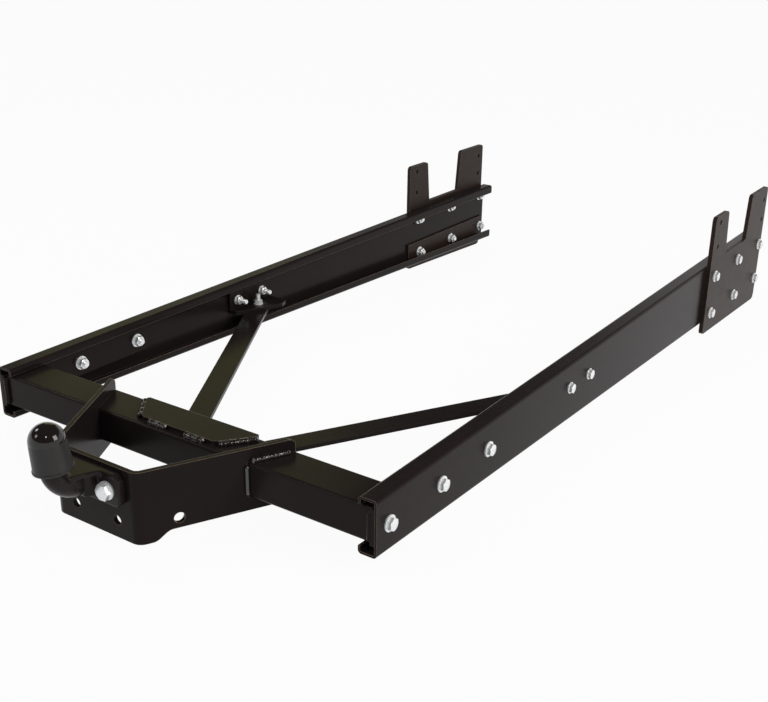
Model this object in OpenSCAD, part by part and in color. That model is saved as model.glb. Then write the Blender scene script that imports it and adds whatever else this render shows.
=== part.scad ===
// Bolt-on trailer hitch: two tapered channel rails, a cross tube, a bent tow bracket with a flange ball,
// two brace bars and two pronged side plates, all bolted or welded together.
// The origin is the centre of the coupling ball. +Y points towards the vehicle and +Z points up.

/* [Coupling ball] */
// Diameter of the ball
ball_d = 50; // [44:0.5:52]
// Diameter of the round neck under the ball
neck_d = 29; // [24:0.5:34]
// Height of the ball's centre above its two bolts
ball_drop = 92.5; // [86:0.5:120]
// Distance from the ball's centre back to the front of its flange
ball_reach = 62; // [56:1:90]
// Thickness of the flange
flange_t = 14; // [10:0.5:20]
// Width of the flange
flange_w = 138; // [126:1:150]
// Height of the flange above the bolts' line
flange_up = 28; // [26:0.5:34]
// Depth of the flange below the bolts' line
flange_down = 24.5; // [22:0.5:34]
// Width of the slopes at the flange's upper corners
flange_slope_w = 10; // [6:1:18]
// Height of the slopes at the flange's upper corners
flange_slope_h = 10; // [5:1:12]
// Diameter of the swan neck's bend
stalk_d = 35; // [30:1:38]
// Radius of the swan neck's centre line
neck_bend = 53; // [44:1:58]
// Width of the neck's foot where it spreads out to the flange
neck_foot_w = 54; // [44:1:57]
// Thickness of the shelf on top of the flange
shelf_t = 8; // [5:0.5:12]
// Width of the shelf where it meets the flange
shelf_w = 72; // [50:1:76]
// Distance between the two ball bolts
ball_bolt_gap = 90; // [86:1:94]

/* [Ball cap] */
// Wall of the plastic cap
cap_wall = 2.2; // [1.2:0.1:3]
// Free space between the cap and the ball
cap_clear = 0.3; // [0.2:0.05:0.6]
// Length of the cap's skirt below the ball's centre
cap_skirt = 45; // [36:1:48]
// Outer diameter of the rim at the foot of the skirt
cap_rim_d = 61; // [60.5:0.5:66]
// Height of the rim
cap_rim_h = 3.5; // [3:0.5:8]
// Extra radius of the skirt at its foot
cap_flare = 2; // [0:0.1:2.6]
// How far the cap sits askew on the ball
cap_tilt = 6; // [0:1:10]
// Direction in which the cap's top leans
cap_lean = 215; // [0:5:355]

/* [Tow bracket] */
// Thickness of the bent plate
bracket_t = 8; // [6:0.5:10]
// Width across the nose where the faces would meet
nose_w = 178; // [174:1:200]
// Angle of each arm to the line of travel
splay = 27; // [20:0.5:32]
// Outer radius of the two bends
bend_r = 20; // [14:1:26]
// Distance from the nose panel's front back to the tube
nose_reach = 157; // [140:1:200]
// Height of the bracket's top edge above the ball bolts
bracket_up = 33.5; // [30:0.5:40]
// Depth of the nose panel below the ball bolts
bracket_down = 88; // [82:1:110]
// How much higher the arms' lower edge is than the nose panel's
arm_step = 15; // [6:1:22]
// Distance from the nose back to the step in the arms' lower edge
arm_step_back = 20; // [16:1:26]
// Length of the sloped step in the arms' lower edge
arm_step_run = 28; // [20:1:44]
// Height of the upper finger on top of the tube
finger_h = 22.5; // [16:0.5:30]
// Radius at the end of the upper finger
finger_r = 10; // [4:1:14]
// Length of the fingers over and under the tube
finger_len = 73; // [60:1:75]
// Drop from the ball bolts to the spare pair of holes
spare_drop = 58; // [54:1:62]
// Diameter of the ball bolts' holes
ball_hole_d = 17; // [16.5:0.1:18]
// Diameter of the safety chain hole in each arm
chain_hole_d = 18; // [16:0.5:24]
// Distance of the chain holes from the nose along the arm
chain_hole_back = 65; // [62:1:90]
// Height of the chain holes above the arm's lower edge
chain_hole_up = 17; // [16:0.5:40]

/* [Cross tube] */
// Depth of the tube along the line of travel
tube_d = 75; // [70:1:90]
// Height of the tube
tube_h = 60; // [56:1:70]
// Wall of the tube
tube_wall = 4; // [3:0.5:6]
// Outer radius of the tube's corners
tube_r = 5; // [4.5:0.5:7]
// Distance of the tube from the rails' ends
tube_setback = 5; // [4:0.5:12]

/* [Tube doubler] */
// Thickness of the doubler plate
doubler_t = 8; // [5:0.5:12]
// Width of the doubler's short front edge
doubler_front_w = 164; // [140:1:180]
// Width of the doubler's long rear edge
doubler_rear_w = 248; // [220:1:260]
// Strip of the tube left bare in front of the doubler
doubler_inset = 12; // [8:1:20]
// Depth of the doubler along the line of travel
doubler_d = 60; // [50:1:61]
// Distance of the doubler's middle from the hitch's middle
doubler_shift = 10; // [0:1:14]

/* [Rails] */
// Width over the outer faces of both rails
hitch_w = 830; // [780:5:900]
// Length of the rails
rail_len = 1745; // [1740:5:1900]
// Depth of a rail at the ball end
rail_h_front = 95; // [92:1:110]
// Depth of a rail at the vehicle end
rail_h_rear = 158; // [150:1:180]
// Width of the rails' flanges
flange_rail_w = 33; // [30:1:40]
// Thickness of the folded sheet
rail_t = 4; // [3:0.5:5]
// Outer radius of the folds
rail_r = 6; // [5.5:0.5:8]
// Height of the turned-in lip at the ball end
lip_front = 13; // [9:0.5:14]
// Height of the turned-in lip at the vehicle end
lip_rear = 22; // [16:0.5:26]
// Free space between the upper lip and the tube
lip_gap = 2.5; // [1.5:0.5:8]
// Diameter of the vent hole in each web
vent_hole_d = 9; // [5:0.5:12]
// Distance of the vent holes behind the side plates' front edge
vent_hole_in = 14; // [8:1:18]
// Drop of the vent holes below the rails' top
vent_hole_drop = 37; // [30:1:60]

/* [End plates] */
// Thickness of the end plates
end_plate_t = 8; // [6:0.5:12]
// Length of the end plates
end_plate_len = 350; // [345:1:420]
// Distance of the first bolt, inside the tube, from the rails' ends
end_bolt_first = 32; // [30:1:40]
// Distance of the second bolt from the rails' ends
end_bolt_second = 176; // [150:1:200]
// Distance of the third bolt from the rails' ends
end_bolt_third = 322; // [280:1:328]

/* [Braces] */
// Width of the brace bars
brace_w = 45; // [36:1:54]
// Thickness of the brace bars
brace_t = 8; // [6:0.5:10]
// Distance of the braces' middle lines from the hitch's middle at their tips
brace_tip = 12.6; // [4:0.1:24]
// Distance of the pivot bolts from the rails' webs
pivot_inset = 33; // [30:1:36]
// Distance of the pivot bolts from the rails' ends
pivot_back = 675; // [670:1:682]
// How far the braces reach under the tube
brace_lap = 50; // [30:1:60]
// Clearance between the braces' tips under the tube
brace_gap = 3; // [1:0.5:8]
// Clearance between the braces' far ends and the rails' webs
brace_end_gap = 2; // [1:0.5:4]

/* [Brace brackets] */
// Thickness of the brace brackets
angle_t = 8; // [6:0.5:10]
// Height of the upright leg
angle_h = 48; // [44:1:52]
// Length of the upright leg
angle_len = 130; // [126:1:150]
// Narrow width of the flat leg
angle_w_front = 30; // [28:1:34]
// Wide width of the flat leg
angle_w_rear = 70; // [56:1:80]
// Distance between the two bolts of a bracket
angle_bolt_gap = 82; // [76:1:90]
// How far the pivot bolts stand behind the middle of the brackets' bolts
pivot_shift = 5; // [0:1:10]

/* [Side plates] */
// Thickness of the side plates
plate_t = 10; // [8:0.5:12]
// Distance of the plates' rear edge from the rails' rear ends
plate_inset = 7; // [4:1:16]
// Length of the side plates
plate_len = 389; // [386:1:395]
// Height of the prongs above the rails
prong_up = 120; // [116:1:160]
// Height of the notch between the prongs above the rails
notch_up = 10; // [4:1:20]
// Width of the short prong at its top
short_prong_w = 88; // [80:1:100]
// Width of the tall prong at its top
tall_prong_w = 126; // [112:1:145]
// How much wider each prong is at its foot
prong_taper = 11; // [0:1:14]
// Depth of the plates below the rails' top at their front edge
plate_down = 166; // [160:1:176]
// Extra depth of the plates at their rear edge
plate_fall = 16; // [8:1:20]
// Radius of the prongs' upper corners
prong_r = 10; // [4:1:16]
// Radius of the plates' lower rear corner
plate_r = 12; // [8:1:30]
// Diameter of the holes to the vehicle
vehicle_hole_d = 13; // [10.5:0.5:14.5]
// Distance of the short prong's holes from the plates' front edge
short_hole_in = 33; // [26:1:41]
// Height of the short prong's lower hole above the rails
short_hole_up = 44.5; // [38:0.5:50]
// Distance between the short prong's holes
short_hole_gap = 58; // [50:0.5:62]
// Distance of the tall prong's holes from the plates' rear edge
tall_hole_in = 23; // [20:1:30]
// Height of the tall prong's lower hole above the rails
tall_hole_up = 38; // [32:0.5:44]
// Distance between the tall prong's holes
tall_hole_gap = 51; // [44:0.5:60]
// Distance of the first bolts from the plates' front edge
plate_bolt_front = 37; // [34:1:45]
// Distance of the last bolts from the plates' rear edge
plate_bolt_rear = 20; // [18:1:26]
// Drop of the upper bolts below the rails' top
plate_row_high = 29; // [28:0.5:32]
// Drop of the lower bolts below the rails' top
plate_row_low = 121; // [118:0.5:122]

/* [Backing bars] */
// Thickness of the backing bars
bar_t = 6; // [3:0.5:8]
// Height of the backing bars
bar_h = 46; // [38:0.5:46]
// Drop of the backing bars' top edge below the rails' top
bar_drop = 92; // [92:0.5:98]
// Length of the backing bars
bar_len = 401; // [390:1:406]
// Distance of the backing bars' rear end from the rails' rear ends
bar_inset = 12; // [8:1:14]

/* [Fasteners] */
// Diameter of the M12 bolts
bolt_d = 12; // [10:0.5:12.5]
// Width over the flats of the M12 heads and nuts
bolt_af = 19; // [17:0.5:20]
// Height of the M12 heads
bolt_head_h = 7.5; // [6:0.5:9]
// Height of the M12 nuts
nut_h = 10.5; // [8:0.5:11.5]
// Outer diameter of the M12 washers
washer_d = 27; // [24:0.5:28]
// Thickness of the M12 washers
washer_t = 2.5; // [1.5:0.1:3]
// Length of thread past the end plates' and side plates' nuts
stud_short = 5; // [2:0.5:8]
// Length of thread past the brace brackets' nuts
stud_long = 17; // [10:0.5:24]
// Length of thread past the pivots' nuts
stud_pivot = 13; // [8:0.5:24]
// Diameter of the M10 bolts, which hold the brace brackets and the braces
small_bolt_d = 10; // [8:0.5:10.5]
// Width over the flats of the M10 heads and nuts
small_bolt_af = 17; // [15:0.5:18]
// Height of the M10 heads
small_head_h = 6.5; // [5:0.5:8]
// Height of the M10 nuts
small_nut_h = 8.5; // [7:0.5:10]
// Outer diameter of the M10 washers
small_washer_d = 22; // [20:0.5:24]
// Thickness of the M10 washers
small_washer_t = 2; // [1.5:0.1:3]
// Drop of the rails' web bolts below the rails' top
web_bolt_drop = 49; // [46:0.5:50]
// Diameter of the ball bolts
ball_bolt_d = 16; // [14:0.5:16.2]
// Width over the flats of the ball bolts' heads and nuts
ball_bolt_af = 24; // [22:0.5:25]
// Height of the ball bolts' heads
ball_head_h = 10; // [8:0.5:12]
// Height of the ball bolts' nuts
ball_nut_h = 13; // [11:0.5:16]
// Outer diameter of the ball bolts' washers
ball_washer_d = 30; // [28:0.5:34]
// Thickness of the ball bolts' washers
ball_washer_t = 3; // [2:0.1:4]
// Clearance round the bolts in their holes, on the diameter
hole_clear = 1; // [0.5:0.1:1.5]
// Clearance between a bolt's thread and its nut, on the radius
thread_clear = 0.05; // [0.02:0.01:0.1]

/* [Welds] */
// Leg of the fillet welds
weld_leg = 7.5; // [4:0.5:8]
// Length of each stitch weld along the doubler
stitch_len = 42; // [24:1:50]

/* [Hidden] */
$fn = 48;

// Colours of the finishes
satin_black = [0.06, 0.055, 0.05];
zinc = [0.78, 0.80, 0.82];
cap_black = [0.09, 0.09, 0.09];

// Distances of the end plates' and the brace brackets' bolts from the rails' ends
end_bolt_back = [end_bolt_first, end_bolt_second, end_bolt_third];
angle_back = pivot_back - pivot_shift;
bracket_bolt_back = [angle_back - angle_bolt_gap / 2, angle_back + angle_bolt_gap / 2];
// The side plates, their bolts and the backing bars keep their distance from the rails' rear ends
plate_rear = rail_len - plate_inset;
plate_front = plate_rear - plate_len;
first_plate_bolt = plate_front + plate_bolt_front;
last_plate_bolt = plate_rear - plate_bolt_rear;
plate_bolt_back = [first_plate_bolt, (first_plate_bolt + last_plate_bolt) / 2, last_plate_bolt];
bar_front = rail_len - bar_inset - bar_len;
short_hole_back = plate_front + short_hole_in;
tall_hole_back = plate_rear - tall_hole_in;

// Places along the line of travel, counted from the ball's centre
y_flange = ball_reach;
y_nose = y_flange + flange_t;
y_tube = y_nose + nose_reach;
y_tube_rear = y_tube + tube_d;
y_rail = y_tube - tube_setback;
y_rail_end = y_rail + rail_len;
y_pivot = y_rail + pivot_back;

// Heights, counted from the ball's centre
z_bolts = -ball_drop;
z_bracket_top = z_bolts + bracket_up;
z_tube_top = z_bracket_top - finger_h;
z_tube_low = z_tube_top - tube_h;
z_nose_low = z_bolts - bracket_down;
z_arm_low = z_nose_low + arm_step;
z_rail = z_tube_top + lip_front + lip_gap;
z_web_bolts = z_rail - web_bolt_drop;

// Sideways places, counted from the middle
x_web = hitch_w / 2;
x_web_in = x_web - rail_t;
x_end_plate = x_web_in - end_plate_t;
x_pivot = x_web - pivot_inset;
x_nose = nose_w / 2;

rail_slope = atan((rail_h_rear - rail_h_front) / rail_len);
// Angle of the braces to the line of travel
brace_angle = atan((x_pivot - brace_tip) / (y_pivot - y_tube_rear + brace_lap));
hole_d = bolt_d + hole_clear;
small_hole_d = small_bolt_d + hole_clear;
// Cut of the doubler's and the flange's corners
doubler_cut = 5;
flange_cut = 6;
// Height of the swan neck's foot above the ball bolts, and its reach into the flange
neck_lift = 1.5;
bite = 1;
far = 3000;

// Height of a rail's underside at a distance back from its end
function rail_low(back) =
    z_rail - rail_h_front - (rail_h_rear - rail_h_front) * back / rail_len;
// Height of a lip at a distance back from the rail's end
function lip_at(back) = lip_front + (lip_rear - lip_front) * back / rail_len;

// An outline in the Y-Z plane, made a plate of thickness t from x0 outwards
module side_slab(x0, t) {
    translate([x0, 0, 0]) rotate([90, 0, 90]) linear_extrude(t) children();
}

// The same piece on both sides of the middle
module both_sides() {
    children();
    mirror([1, 0, 0]) children();
}

module on_left() {
    mirror([1, 0, 0]) children();
}

// A hole along X through everything between two places
module cross_hole(x0, x1, y, z, d) {
    translate([x0, y, z]) rotate([0, 90, 0]) cylinder(d = d, h = x1 - x0);
}

// A rectangle with round corners
module round_rect(w, h, r) {
    translate([r, 0]) square([w - 2 * r, h]);
    translate([0, r]) square([w, h - 2 * r]);
    for (x = [r, w - r], y = [r, h - r]) translate([x, y]) circle(r);
}

// Fasteners

// A hexagon with its outer corners turned off
module hex_body(af, h) {
    intersection() {
        rotate([0, 0, 30]) cylinder(d = af / cos(30), h = h, $fn = 6);
        union() {
            cylinder(d = af / cos(30) + 1, h = h - af * 0.08);
            translate([0, 0, h - af * 0.08])
                cylinder(d1 = af / cos(30) + 0.2, d2 = af * 0.93, h = af * 0.08);
        }
    }
}

// A bolt whose head stands up from z = 0 and whose shank runs down
module hex_bolt(d, af, head_h, shank) {
    tip = 1.2;
    hex_body(af, head_h);
    translate([0, 0, tip - shank]) cylinder(d = d, h = shank - tip);
    translate([0, 0, -shank]) cylinder(d1 = d - 2 * tip, d2 = d, h = tip);
}

module washer(d, hole, t) {
    difference() {
        cylinder(d = d, h = t);
        translate([0, 0, -1]) cylinder(d = hole, h = t + 2);
    }
}

module hex_nut(d, af, h) {
    difference() {
        hex_body(af, h);
        translate([0, 0, -1]) cylinder(r = d / 2 + thread_clear, h = h + 2);
    }
}

module m12_bolt(shank) {
    hex_bolt(bolt_d, bolt_af, bolt_head_h, shank);
}

module m12_washer() {
    washer(washer_d, hole_d, washer_t);
}

module m12_nut() {
    hex_nut(bolt_d, bolt_af, nut_h);
}

module m10_bolt(shank) {
    hex_bolt(small_bolt_d, small_bolt_af, small_head_h, shank);
}

module m10_washer() {
    washer(small_washer_d, small_hole_d, small_washer_t);
}

module m10_nut() {
    hex_nut(small_bolt_d, small_bolt_af, small_nut_h);
}

// Turns a fastener so that its head points outwards at the right rail's side
module facing_out(x, back, z) {
    translate([x, y_rail + back, z]) rotate([0, 90, 0]) children();
}

// The same for a nut or a washer that faces the middle
module facing_in(x, back, z) {
    translate([x, y_rail + back, z]) rotate([0, -90, 0]) children();
}

// Rails

// One folded flange seen from its end: flat top with two round folds
module fold_profile() {
    difference() {
        union() {
            translate([rail_r, 0]) square([flange_rail_w - 2 * rail_r, rail_r]);
            for (x = [rail_r, flange_rail_w - rail_r]) translate([x, 0]) circle(rail_r);
        }
        translate([rail_r, -1]) square([flange_rail_w - 2 * rail_r, rail_r - rail_t + 1]);
        for (x = [rail_r, flange_rail_w - rail_r]) translate([x, 0]) circle(rail_r - rail_t);
        translate([-1, -rail_r - 1]) square([flange_rail_w + 2, rail_r + 1]);
    }
}

// A strip of fold_profile along Y, its flat side at z = 0
module fold_strip(length) {
    translate([-flange_rail_w, length, -rail_r]) rotate([90, 0, 0]) linear_extrude(length)
        fold_profile();
}

module rail() {
    low_front = rail_low(0);
    low_rear = rail_low(rail_len);
    fold = rail_r / cos(rail_slope);
    high = z_rail - rail_r;
    spare = 40;
    difference() {
        union() {
            side_slab(x_web_in, rail_t) polygon([[y_rail, low_front + fold],
                [y_rail_end, low_rear + fold], [y_rail_end, high], [y_rail, high]]);
            side_slab(x_web - flange_rail_w, rail_t) polygon([[y_rail, z_rail - lip_front],
                [y_rail_end, z_rail - lip_rear], [y_rail_end, high], [y_rail, high]]);
            side_slab(x_web - flange_rail_w, rail_t) polygon([[y_rail, low_front + fold],
                [y_rail_end, low_rear + fold], [y_rail_end, low_rear + lip_rear],
                [y_rail, low_front + lip_front]]);
            translate([x_web, y_rail, z_rail]) fold_strip(rail_len);
            intersection() {
                translate([x_web, y_rail, low_front]) rotate([-rail_slope, 0, 0])
                    translate([0, -spare, 0]) mirror([0, 0, 1]) fold_strip(rail_len + 2 * spare);
                translate([0, y_rail, -far / 2]) cube([far / 2, rail_len, far]);
            }
        }
        for (back = end_bolt_back)
            cross_hole(x_web_in - 1, x_web + 1, y_rail + back, z_web_bolts, hole_d);
        for (back = bracket_bolt_back)
            cross_hole(x_web_in - 1, x_web + 1, y_rail + back, z_web_bolts, small_hole_d);
        for (back = plate_bolt_back, drop = [plate_row_high, plate_row_low])
            cross_hole(x_web_in - 1, x_web + 1, y_rail + back, z_rail - drop, hole_d);
        cross_hole(x_web_in - 1, x_web + 1, y_rail + plate_front + vent_hole_in,
            z_rail - vent_hole_drop, vent_hole_d);
    }
}

module rail_right() {
    color(satin_black) rail();
}

module rail_left() {
    color(satin_black) on_left() rail();
}

// Cross tube and the plates welded to it

module cross_tube() {
    color(satin_black)
        translate([-x_end_plate, y_tube, z_tube_low]) rotate([90, 0, 90])
            linear_extrude(2 * x_end_plate) difference() {
                round_rect(tube_d, tube_h, tube_r);
                translate([tube_wall, tube_wall])
                    round_rect(tube_d - 2 * tube_wall, tube_h - 2 * tube_wall, tube_r - tube_wall);
            }
}

module end_plate() {
    difference() {
        translate([x_end_plate, y_rail, z_tube_low]) cube([end_plate_t, end_plate_len, tube_h]);
        for (back = end_bolt_back)
            cross_hole(x_end_plate - 1, x_web, y_rail + back, z_web_bolts, hole_d);
    }
}

module end_plate_right() {
    color(satin_black) end_plate();
}

module end_plate_left() {
    color(satin_black) on_left() end_plate();
}

module tube_doubler() {
    front = doubler_front_w / 2;
    rear = doubler_rear_w / 2;
    cut = doubler_cut;
    color(satin_black) translate([doubler_shift, y_tube + doubler_inset, z_tube_top])
        linear_extrude(doubler_t) polygon([[-front + cut, 0], [front - cut, 0],
            [front + cut / 2, cut], [rear, doubler_d - cut], [rear - cut / 2, doubler_d],
            [-rear + cut / 2, doubler_d], [-rear, doubler_d - cut], [-front - cut / 2, cut]]);
}

// Tow bracket

// Turns what follows so that +Y runs along the right arm and x = 0 is its outer face
module along_arm() {
    translate([x_nose, y_nose, 0]) rotate([0, 0, -splay]) children();
}

// Nose panel and right arm of the bent plate, seen from above
module bracket_plan() {
    turn = 90 - splay;
    tangent = bend_r * tan(turn / 2);
    arm_len = (nose_reach + tube_d) / cos(splay) + bend_r;
    translate([tangent - x_nose, y_nose]) square([2 * (x_nose - tangent), bracket_t]);
    along_arm() translate([-bracket_t, tangent]) square([bracket_t, arm_len - tangent]);
    translate([x_nose - tangent, y_nose + bend_r]) intersection() {
        difference() {
            circle(bend_r);
            circle(bend_r - bracket_t);
        }
        polygon([[0, 0], 2 * bend_r * [0, -1], 3 * bend_r * [sin(turn / 2), -cos(turn / 2)],
            2 * bend_r * [sin(turn), -cos(turn)]]);
    }
}

// Side view of the bent plate: stepped lower edge and the notch round the tube
module bracket_side() {
    steps = 10;
    step_front = y_nose + arm_step_back;
    finger_end = y_tube + finger_len;
    difference() {
        polygon(concat([[y_nose - 1, z_bracket_top], [y_nose - 1, z_nose_low]],
            [for (i = [0:steps]) [step_front + arm_step_run * i / steps,
                z_nose_low + arm_step * (1 - cos(180 * i / steps)) / 2]],
            [[finger_end, z_arm_low], [finger_end, z_bracket_top - finger_r],
                [finger_end - finger_r, z_bracket_top - finger_r],
                [finger_end - finger_r, z_bracket_top]]));
        translate([y_tube, z_tube_low]) square([tube_d + bend_r, tube_h]);
    }
    translate([finger_end - finger_r, z_bracket_top - finger_r]) intersection() {
        circle(finger_r);
        square(finger_r);
    }
}

module chain_hole() {
    along_arm() translate([-bracket_t - 1, chain_hole_back, z_arm_low + chain_hole_up])
        rotate([0, 90, 0]) cylinder(d = chain_hole_d, h = bracket_t + 2);
}

module tow_bracket() {
    color(satin_black) difference() {
        intersection() {
            translate([0, 0, z_nose_low - 1]) linear_extrude(bracket_up + bracket_down + 2)
                both_sides() bracket_plan();
            side_slab(-x_web, hitch_w) bracket_side();
        }
        for (x = [-1, 1] * ball_bolt_gap / 2, z = [z_bolts, z_bolts - spare_drop])
            translate([x, y_nose - 1, z]) rotate([-90, 0, 0])
                cylinder(d = ball_hole_d, h = bracket_t + 2);
        both_sides() chain_hole();
    }
}

// Coupling ball

// Front view of the flange
module flange_outline() {
    half = flange_w / 2;
    cut = flange_cut;
    slope_top = half - flange_slope_w;
    slope_foot = flange_up - flange_slope_h;
    polygon([[-half + cut, -flange_down], [half - cut, -flange_down], [half, -flange_down + cut],
        [half, slope_foot], [slope_top, flange_up], [-slope_top, flange_up],
        [-half, slope_foot], [-half, -flange_down + cut]]);
}

// Shelf that ties the neck to the top of the flange, seen from above
module shelf_outline() {
    wide = shelf_w / 2;
    slim = stalk_d * 0.41;
    waist = shelf_w * 0.305;
    y_waist = y_flange - shelf_w * 0.28;
    root = shelf_w * 0.42;
    y_root = y_flange - shelf_w * 0.07;
    polygon([[-wide, y_flange + bite], [-root, y_root], [-waist, y_waist], [-slim, slim],
        [slim, slim], [waist, y_waist], [root, y_root], [wide, y_flange + bite]]);
}

// The neck's foot, which spreads out to the flange, seen from above
module neck_foot() {
    slim = stalk_d / 2 - bite;
    wide = neck_foot_w / 2;
    polygon([[-slim, neck_bend - stalk_d / 4], [slim, neck_bend - stalk_d / 4],
        [wide, y_flange + bite], [-wide, y_flange + bite]]);
}

// Flat-sided web that fills the neck's inner bend up to the shelf
module neck_web(z_bend, z_top) {
    slim = (stalk_d - bite) / 2;
    start = asin((z_bend - z_top) / neck_bend);
    steps = 4;
    side_slab(-slim, 2 * slim) polygon(concat(
        [for (i = [0:steps]) let (a = start + (90 - start) * i / steps)
            [neck_bend * (1 - cos(a)), z_bend - neck_bend * sin(a)]],
        [[y_flange + bite, z_bend - neck_bend], [y_flange + bite, z_top]]));
}

module tow_ball() {
    z_bend = z_bolts + neck_bend + neck_lift;
    z_shelf = z_bolts + flange_up - shelf_t;
    z_foot = z_bolts + neck_lift - stalk_d / 2 + bite;
    cone_h = stalk_d - neck_d + 2;
    color(satin_black) difference() {
        union() {
            translate([0, y_nose, z_bolts]) rotate([90, 0, 0]) linear_extrude(flange_t)
                flange_outline();
            translate([0, 0, z_shelf]) linear_extrude(shelf_t) shelf_outline();
            translate([0, 0, z_foot]) linear_extrude(z_shelf + bite - z_foot) neck_foot();
            neck_web(z_bend, z_shelf + bite);
            translate([0, neck_bend, z_bend]) rotate([90, 0, -90]) rotate([0, 0, 270])
                rotate_extrude(angle = 90) translate([neck_bend, 0]) circle(d = stalk_d);
            translate([0, y_flange + bite, z_bend - neck_bend]) rotate([90, 0, 0])
                cylinder(d = stalk_d, h = y_flange + bite - neck_bend);
            translate([0, 0, z_bend]) cylinder(d1 = stalk_d, d2 = neck_d, h = cone_h);
            translate([0, 0, z_bend + cone_h]) cylinder(d = neck_d, h = -z_bend - cone_h);
            sphere(d = ball_d, $fn = 96);
        }
        for (x = [-1, 1] * ball_bolt_gap / 2)
            translate([x, y_flange - 1, z_bolts]) rotate([-90, 0, 0])
                cylinder(d = ball_hole_d, h = flange_t + 2);
    }
}

// A half ball on top of a skirt that widens towards its foot
module cap_body(r, flare, foot) {
    intersection() {
        sphere(r = r, $fn = 96);
        translate([-2 * r, -2 * r, 0]) cube([4 * r, 4 * r, 2 * r]);
    }
    translate([0, 0, -foot]) cylinder(r1 = r + flare, r2 = r, h = foot, $fn = 96);
}

// Push-on cap with a thicker rim at the foot of its skirt
module ball_cap() {
    inner = ball_d / 2 + cap_clear;
    color(cap_black) rotate([0, 0, cap_lean]) rotate([0, cap_tilt, 0]) difference() {
        union() {
            cap_body(inner + cap_wall, cap_flare, cap_skirt);
            translate([0, 0, -cap_skirt]) cylinder(d = cap_rim_d, h = cap_rim_h, $fn = 96);
        }
        cap_body(inner, cap_flare, cap_skirt + 1);
    }
}

module at_ball_bolts(y) {
    for (x = [-1, 1] * ball_bolt_gap / 2) translate([x, y, z_bolts]) children();
}

module ball_bolts() {
    grip = flange_t + bracket_t + 2 * ball_washer_t + ball_nut_h;
    color(zinc) at_ball_bolts(y_flange - ball_washer_t) rotate([90, 0, 0])
        hex_bolt(ball_bolt_d, ball_bolt_af, ball_head_h, grip + stud_short);
}

module ball_washers() {
    color(zinc) for (y = [y_flange - ball_washer_t, y_nose + bracket_t]) at_ball_bolts(y)
        rotate([-90, 0, 0]) washer(ball_washer_d, ball_bolt_d + hole_clear, ball_washer_t);
}

module ball_nuts() {
    color(zinc) at_ball_bolts(y_nose + bracket_t + ball_washer_t) rotate([-90, 0, 0])
        hex_nut(ball_bolt_d, ball_bolt_af, ball_nut_h);
}

// Braces

// Turns what follows so that +Y runs along the right brace and its pivot bolt is the origin
module along_brace() {
    translate([x_pivot, y_pivot, z_tube_low - brace_t]) rotate([0, 0, -brace_angle]) children();
}

module brace() {
    length = (y_pivot - y_tube_rear + tube_d) / cos(brace_angle);
    tail = brace_w;
    difference() {
        intersection() {
            along_brace() translate([-brace_w / 2, -length, 0])
                cube([brace_w, length + tail, brace_t]);
            translate([brace_gap / 2, y_tube_rear - brace_lap, -far / 2])
                cube([x_web_in - brace_end_gap - brace_gap / 2, far, far]);
        }
        along_brace() translate([0, 0, -1]) cylinder(d = small_hole_d, h = brace_t + 2);
    }
}

module brace_right() {
    color(satin_black) brace();
}

module brace_left() {
    color(satin_black) on_left() brace();
}

module brace_bracket() {
    corner = 12;
    back0 = angle_back - angle_len / 2;
    x_leg = x_web_in - angle_t;
    color(satin_black) difference() {
        union() {
            translate([x_leg, y_rail + back0, z_tube_low]) cube([angle_t, angle_len, angle_h]);
            translate([x_web_in, y_rail + back0, z_tube_low]) linear_extrude(angle_t) polygon([
                [0, 0], [0, angle_len], [-angle_w_rear + 2 * corner, angle_len],
                [-angle_w_rear + corner / 2, angle_len - corner / 2],
                [-angle_w_rear, angle_len - 2 * corner], [-angle_w_front, corner / 3],
                [-angle_w_front + corner / 2, 0]]);
        }
        for (back = bracket_bolt_back)
            cross_hole(x_leg - 1, x_web, y_rail + back, z_web_bolts, small_hole_d);
        translate([x_pivot, y_pivot, z_tube_low - 1]) cylinder(d = small_hole_d, h = angle_t + 2);
    }
}

module brace_bracket_right() {
    brace_bracket();
}

module brace_bracket_left() {
    on_left() brace_bracket();
}

module at_pivots(z) {
    both_sides() translate([x_pivot, y_pivot, z]) children();
}

module pivot_bolts() {
    grip = 2 * small_washer_t + brace_t + angle_t + small_nut_h;
    color(zinc) at_pivots(z_tube_low - brace_t - small_washer_t) mirror([0, 0, 1])
        m10_bolt(grip + stud_pivot);
}

module pivot_washers() {
    color(zinc) {
        at_pivots(z_tube_low - brace_t - small_washer_t) m10_washer();
        at_pivots(z_tube_low + angle_t) m10_washer();
    }
}

module pivot_nuts() {
    color(zinc) at_pivots(z_tube_low + angle_t + small_washer_t) m10_nut();
}

module bracket_bolts() {
    grip = 2 * small_washer_t + rail_t + angle_t + small_nut_h;
    color(zinc) both_sides() for (back = bracket_bolt_back)
        facing_out(x_web + small_washer_t, back, z_web_bolts) m10_bolt(grip + stud_long);
}

module bracket_washers() {
    color(zinc) both_sides() for (back = bracket_bolt_back) {
        facing_out(x_web, back, z_web_bolts) m10_washer();
        facing_in(x_web_in - angle_t, back, z_web_bolts) m10_washer();
    }
}

module bracket_nuts() {
    color(zinc) both_sides() for (back = bracket_bolt_back)
        facing_in(x_web_in - angle_t - small_washer_t, back, z_web_bolts) m10_nut();
}

// Bolts of the end plates; the first one on each side ends inside the tube

module rail_bolts() {
    grip = 2 * washer_t + rail_t + end_plate_t + nut_h;
    for (back = end_bolt_back)
        facing_out(x_web + washer_t, back, z_web_bolts) m12_bolt(grip + stud_short);
}

module rail_washers() {
    for (back = end_bolt_back) {
        facing_out(x_web, back, z_web_bolts) m12_washer();
        facing_in(x_end_plate, back, z_web_bolts) m12_washer();
    }
}

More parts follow.
